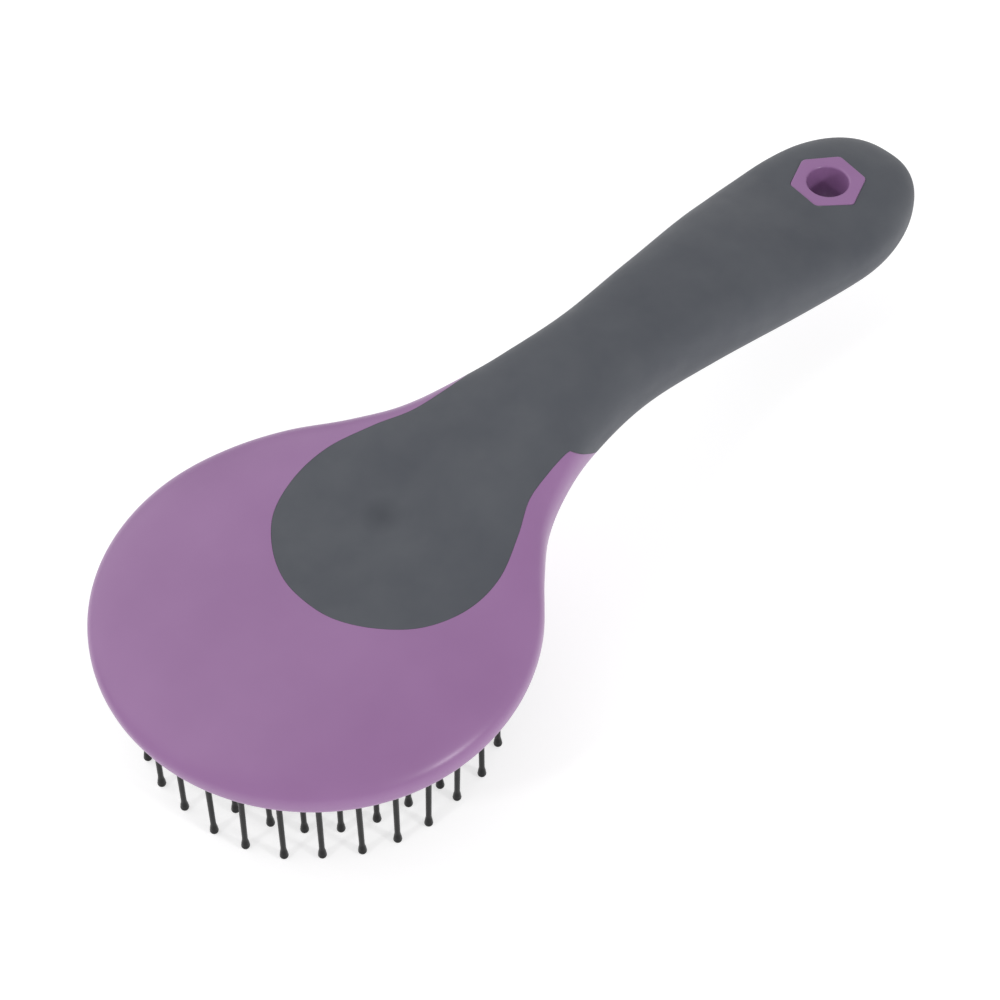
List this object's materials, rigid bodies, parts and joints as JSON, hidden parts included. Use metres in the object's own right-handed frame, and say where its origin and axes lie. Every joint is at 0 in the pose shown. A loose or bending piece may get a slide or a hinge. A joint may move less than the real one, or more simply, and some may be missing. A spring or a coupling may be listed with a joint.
{
  "type": "mane and tail brush",
  "caption": "Long-handled mane and tail brush: round domed head, air-cushioned ball-tipped pins that sink together, soft grip and hang hole.",
  "frame": {"origin": "centre of the footprint of the whole brush, level with the lowest pin tips", "axes": "+X along the handle from the head to the hang hole, +Z from the pin tips up to the crown, +Y across"},
  "size_m": [0.246, 0.1, 0.0527],
  "materials": {
    "body_plastic": "satin moulded polypropylene, purple",
    "grip_rubber": "matte soft-touch thermoplastic rubber, grey",
    "cushion_rubber": "matte black rubber membrane",
    "pin_plastic": "semi-gloss black nylon"
  },
  "bodies": {
    "body": {"brush_body": "body_plastic", "grip_overmould": "grip_rubber", "rubber_cushion": "cushion_rubber"},
    "pins_1": {"pin_ring_1_strip_01": "pin_plastic", "pin_ring_1_strip_02": "pin_plastic", "pin_ring_1_strip_03": "pin_plastic", "pin_ring_1_strip_04": "pin_plastic", "pin_ring_1_strip_05": "pin_plastic", "pin_ring_1_strip_06": "pin_plastic", "pin_ring_1_strip_07": "pin_plastic", "pin_ring_1_strip_08": "pin_plastic"},
    "pins_2": {"pin_ring_2_strip_01": "pin_plastic", "pin_ring_2_strip_02": "pin_plastic", "pin_ring_2_strip_03": "pin_plastic", "pin_ring_2_strip_04": "pin_plastic", "pin_ring_2_strip_05": "pin_plastic", "pin_ring_2_strip_06": "pin_plastic", "pin_ring_2_strip_07": "pin_plastic"},
    "pins_3": {"pin_ring_3_strip_01": "pin_plastic", "pin_ring_3_strip_02": "pin_plastic", "pin_ring_3_strip_03": "pin_plastic", "pin_ring_3_strip_04": "pin_plastic", "pin_ring_3_strip_05": "pin_plastic"},
    "pins_4": {"pin_ring_4_pin_01": "pin_plastic", "pin_ring_4_pin_02": "pin_plastic", "pin_ring_4_pin_03": "pin_plastic", "pin_ring_4_pin_04": "pin_plastic", "pin_ring_4_pin_05": "pin_plastic", "pin_ring_4_pin_06": "pin_plastic", "pin_ring_4_pin_07": "pin_plastic", "pin_ring_4_pin_08": "pin_plastic", "pin_ring_4_pin_09": "pin_plastic", "pin_ring_4_pin_10": "pin_plastic", "pin_ring_4_pin_11": "pin_plastic", "pin_ring_4_pin_12": "pin_plastic", "pin_ring_4_pin_13": "pin_plastic", "pin_ring_4_pin_14": "pin_plastic", "pin_ring_4_pin_15": "pin_plastic"},
    "pins_5": {"pin_ring_5_pin_01": "pin_plastic", "pin_ring_5_pin_02": "pin_plastic", "pin_ring_5_pin_03": "pin_plastic", "pin_ring_5_pin_04": "pin_plastic", "pin_ring_5_pin_05": "pin_plastic", "pin_ring_5_pin_06": "pin_plastic", "pin_ring_5_pin_07": "pin_plastic", "pin_ring_5_pin_08": "pin_plastic", "pin_ring_5_pin_09": "pin_plastic", "pin_ring_5_pin_10": "pin_plastic"},
    "pins_6": {"pin_ring_6_pin_01": "pin_plastic", "pin_ring_6_pin_02": "pin_plastic", "pin_ring_6_pin_03": "pin_plastic", "pin_ring_6_pin_04": "pin_plastic", "pin_ring_6_pin_05": "pin_plastic"}
  },
  "joints": [
    {"name": "cushion_press", "type": "slide", "parent": "body", "child": "pins_6", "axis": [0, 0, 1], "range_m": [0, 0.003], "stiffness_N_per_m": 3000, "deforming": ["rubber_cushion"]},
    {"name": "ring_5_sink", "type": "slide", "parent": "body", "child": "pins_5", "axis": [0, 0, 1], "range_m": [0, 0.00293]},
    {"name": "ring_4_sink", "type": "slide", "parent": "body", "child": "pins_4", "axis": [0, 0, 1], "range_m": [0, 0.00263]},
    {"name": "ring_3_sink", "type": "slide", "parent": "body", "child": "pins_3", "axis": [0, 0, 1], "range_m": [0, 0.00196]},
    {"name": "ring_2_sink", "type": "slide", "parent": "body", "child": "pins_2", "axis": [0, 0, 1], "range_m": [0, 0.00096]},
    {"name": "ring_1_sink", "type": "slide", "parent": "body", "child": "pins_1", "axis": [0, 0, 1], "range_m": [0, 0.000108]}
  ],
  "couplings": [
    {"joint": "ring_5_sink", "follows": "cushion_press", "ratio": 0.975},
    {"joint": "ring_4_sink", "follows": "cushion_press", "ratio": 0.875},
    {"joint": "ring_3_sink", "follows": "cushion_press", "ratio": 0.653},
    {"joint": "ring_2_sink", "follows": "cushion_press", "ratio": 0.32},
    {"joint": "ring_1_sink", "follows": "cushion_press", "ratio": 0.036}
  ]
}
